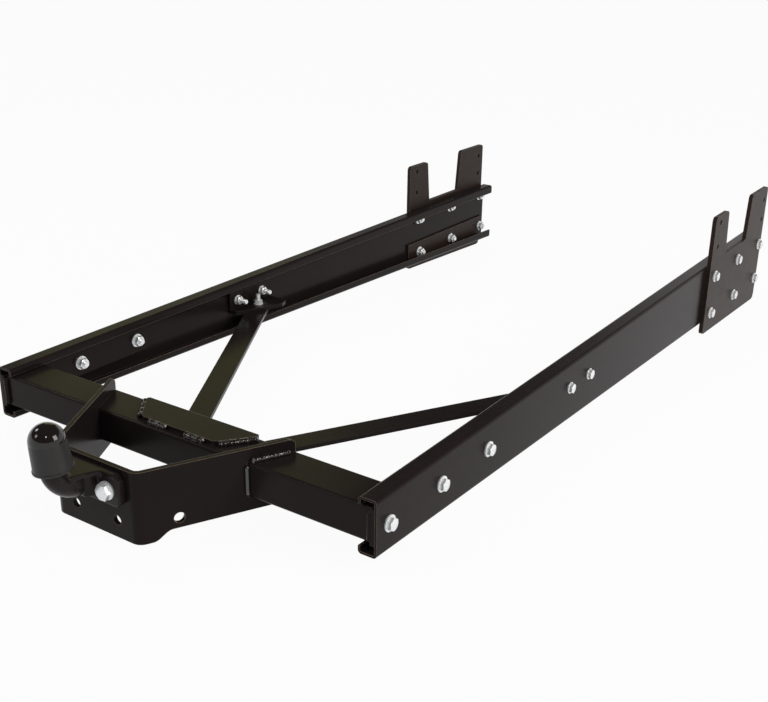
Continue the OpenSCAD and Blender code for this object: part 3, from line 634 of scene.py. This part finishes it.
class HITCH_OT_forge_ball(bpy.types.Operator):
    """Rounds the forging's corners as the hammer leaves them"""

    bl_idname = "hitch.forge_ball"
    bl_label = "Tow ball forging"

    def execute(self, context):
        size = sizes()
        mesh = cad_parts["tow_ball"].data.copy()
        merged = bmesh.new()
        merged.from_mesh(mesh)
        bmesh.ops.remove_doubles(merged, verts=merged.verts, dist=1e-6)
        merged.to_mesh(mesh)
        merged.free()
        blank = bpy.data.objects.new("forging_blank", mesh)
        bpy.context.scene.collection.objects.link(blank)
        grid = blank.modifiers.new("grid", "REMESH")
        grid.mode = "VOXEL"
        grid.voxel_size = size.voxel
        solid = blank.evaluated_get(bpy.context.evaluated_depsgraph_get()).to_mesh()
        bm = bmesh.new()
        bm.from_mesh(solid)
        bpy.data.objects.remove(blank)
        if not bm.faces:
            raise RuntimeError("the forging's grid came out empty")
        for _ in range(size.rounding):
            bmesh.ops.smooth_vert(
                bm, verts=bm.verts, factor=0.5, use_axis_x=True, use_axis_y=True, use_axis_z=True
            )
        paint = painted_forging(tuple(finishes().coat), tuple(finishes().wear_and_highlight))
        piece("forged_tow_ball", bm, paint, "hitch", "tow_ball")
        return {"FINISHED"}


class HITCH_OT_mould_cap(bpy.types.Operator):
    """Turns the push-on cap with a rounded rim"""

    bl_idname = "hitch.mould_cap"
    bl_label = "Ball cap"

    def execute(self, context):
        bm = bmesh.new()
        shells = []
        for radius in (CAP_OUTER, CAP_INNER):
            start = bm.verts.new((radius, 0, 0))
            bmesh.ops.spin(
                bm, geom=[start], cent=(0, 0, 0), axis=(0, 1, 0), angle=-math.pi / 2, steps=20
            )
            shells.append(start)
        outline = [shells[0]]
        above_rim = CAP_OUTER + CAP_FLARE * (1 - CAP_RIM_HEIGHT / CAP_SKIRT)
        rim_top = CAP_RIM_HEIGHT - CAP_SKIRT
        inner_foot = CAP_INNER + CAP_FLARE
        foot = ((above_rim, rim_top), (CAP_RIM, rim_top), (CAP_RIM, -CAP_SKIRT), (inner_foot, -CAP_SKIRT))
        for x, z in foot:
            outline.append(bm.verts.new((x, 0, z)))
        outline.append(shells[1])
        for first, second in zip(outline, outline[1:]):
            bm.edges.new((first, second))
        flat = list(bm.verts) + list(bm.edges)
        bmesh.ops.spin(
            bm, geom=flat, cent=(0, 0, 0), axis=(0, 0, 1), angle=2 * math.pi, steps=96, use_merge=True
        )
        bmesh.ops.remove_doubles(bm, verts=bm.verts, dist=1e-6)
        corners = [e for e in bm.edges if len(e.link_faces) == 2 and e.calc_face_angle() > math.radians(40)]
        bmesh.ops.bevel(
            bm, geom=corners, offset=CAP_ROUNDING, segments=3, profile=0.5, affect="EDGES", material=-1
        )
        lean = Matrix.Rotation(CAP_LEAN, 4, "Z") @ Matrix.Rotation(CAP_TILT, 4, "Y")
        bmesh.ops.transform(bm, matrix=lean, verts=bm.verts)
        plastic = moulded_cap(tuple(finishes().cap), CAP_TILT, CAP_LEAN)
        piece("moulded_ball_cap", bm, plastic, "cap", "ball_cap")
        return {"FINISHED"}


class HITCH_OT_stage(bpy.types.Operator):
    """Sets the floor, the studio light and the camera"""

    bl_idname = "hitch.stage"
    bl_label = "Stage"

    def execute(self, context):
        self.floor()
        self.lights()
        self.camera()
        bpy.context.scene.view_settings.view_transform = "Standard"
        return {"FINISHED"}

    def floor(self):
        """The hitch rests on its nose and on the side plates' rear corners."""
        nose = Vector((0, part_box("tow_bracket")[0].y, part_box("tow_bracket")[0].z))
        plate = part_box("side_plate_right")
        heel_inset = 0.026
        heel = Vector((0, plate[1].y - heel_inset, plate[0].z))
        slope = math.atan2(heel.z - nose.z, heel.y - nose.y)
        bm = bmesh.new()
        bmesh.ops.create_grid(bm, x_segments=1, y_segments=1, size=30)
        mesh = bpy.data.meshes.new("floor")
        gap = 0.0005
        place = Matrix.Translation(nose - Vector((0, 0, gap))) @ Matrix.Rotation(slope, 4, "X")
        bmesh.ops.transform(bm, matrix=place, verts=bm.verts)
        bm.to_mesh(mesh)
        bm.free()
        mesh.materials.append(paper_white())
        floor = bpy.data.objects.new("floor", mesh)
        bpy.context.scene.collection.objects.link(floor)

    def lights(self):
        """White walls under a dim ceiling, a key from the right and four weaker lamps."""
        world = bpy.data.worlds.new("studio")
        world.use_nodes = True
        bpy.context.scene.world = world
        tree = world.node_tree
        back = tree.nodes["Background"]
        place = tree.nodes.new("ShaderNodeTexCoord")
        parts = tree.nodes.new("ShaderNodeSeparateXYZ")
        tree.links.new(place.outputs["Generated"], parts.inputs[0])
        x, y, z = (Wire(tree, parts.outputs[name]) for name in "XYZ")
        ceiling = ((z - 0.17) * 10.0).clamped()
        # The ceiling stays white over a low doorway at the vehicle's end
        doorway = ((x + y * 0.45) * 8.0).clamped() * ((y - 0.6) * 8.0).clamped()
        doorway = doorway * ((0.45 - z) * 8.0).clamped()
        mixed = tree.nodes.new("ShaderNodeMix")
        mixed.data_type = "RGBA"
        plug(tree, mixed.inputs[0], ceiling * (1.0 - doorway) * seen_rays(tree))
        plug(tree, mixed.inputs[6], (1.0, 1.0, 1.0, 1.0))
        plug(tree, mixed.inputs[7], (0.05, 0.042, 0.03, 1.0))
        tree.links.new(mixed.outputs[2], back.inputs["Color"])
        plug(tree, back.inputs["Strength"], 0.5 + seen_rays(tree) * 0.5)
        # Name, place, width, power and colour of each lamp
        lamps = (
            ("key", (2.9, 1.1, 1.6), 1.5, 56.0, (1.0, 0.92, 0.87)),
            ("fill", (-1.8, -2.6, 2.2), 0.9, 14.0, (0.97, 0.98, 1.0)),
            ("rear", (-2.6, 2.9, 1.7), 1.6, 4.0, (0.97, 1.0, 0.4)),
            ("spark", (1.6, -1.5, 2.6), 0.3, 11.0, (1.0, 0.98, 0.95)),
            ("window", (-2.2, -0.4, 1.9), 0.6, 10.0, (0.97, 0.98, 1.0)),
        )
        aim = Vector((0, 0.7, -0.1))
        for name, place, width, power, colour in lamps:
            lamp = bpy.data.lights.new(name, "AREA")
            lamp.shape = "SQUARE"
            lamp.size = width
            lamp.energy = power
            lamp.color = colour
            made = bpy.data.objects.new(name, lamp)
            made.location = place
            made.rotation_euler = (aim - Vector(place)).to_track_quat("-Z", "Y").to_euler()
            bpy.context.scene.collection.objects.link(made)

    def camera(self):
        """The camera that was fitted to the photo."""
        lens = bpy.data.cameras.new("camera")
        lens.lens = 52.281
        lens.sensor_width = 36
        lens.clip_start = 0.05
        made = bpy.data.objects.new("camera", lens)
        yaw, pitch, roll = (math.radians(a) for a in (34.167, 22.114, 0.876))
        turn = Matrix.Rotation(yaw, 4, "Z") @ Matrix.Rotation(math.pi / 2 - pitch, 4, "X")
        place = Matrix.Translation((1.193495, -0.907266, 0.723753))
        made.matrix_world = place @ turn @ Matrix.Rotation(roll, 4, "Z")
        bpy.context.scene.collection.objects.link(made)
        bpy.context.scene.camera = made


class HITCH_PT_looks(bpy.types.Panel):
    """Lists the hitch's pieces"""

    bl_label = "Trailer hitch"
    bl_idname = "HITCH_PT_looks"
    bl_space_type = "VIEW_3D"
    bl_region_type = "UI"
    bl_category = "Hitch"

    def draw(self, context):
        for group in (context.scene.hitch_finishes, context.scene.hitch_sizes):
            for name in group.__annotations__:
                self.layout.prop(group, name)
        for operator in OPERATORS:
            self.layout.operator(operator.bl_idname)


OPERATORS = (
    HITCH_OT_stage, HITCH_OT_coat_frame, HITCH_OT_plate_hardware, HITCH_OT_cut_threads,
    HITCH_OT_lay_welds, HITCH_OT_forge_ball, HITCH_OT_mould_cap,
)
CLASSES = (HITCH_PG_finishes, HITCH_PG_sizes, *OPERATORS, HITCH_PT_looks)


def register():
    for cls in CLASSES:
        bpy.utils.register_class(cls)
    bpy.types.Scene.hitch_finishes = PointerProperty(type=HITCH_PG_finishes)
    bpy.types.Scene.hitch_sizes = PointerProperty(type=HITCH_PG_sizes)


def unregister():
    del bpy.types.Scene.hitch_sizes
    del bpy.types.Scene.hitch_finishes
    for cls in reversed(CLASSES):
        bpy.utils.unregister_class(cls)


def main():
    register()
    bpy.ops.hitch.stage()
    bpy.ops.hitch.coat_frame()
    bpy.ops.hitch.plate_hardware()
    bpy.ops.hitch.cut_threads()
    bpy.ops.hitch.lay_welds()
    bpy.ops.hitch.forge_ball()
    bpy.ops.hitch.mould_cap()


if __name__ == "__main__":
    main()
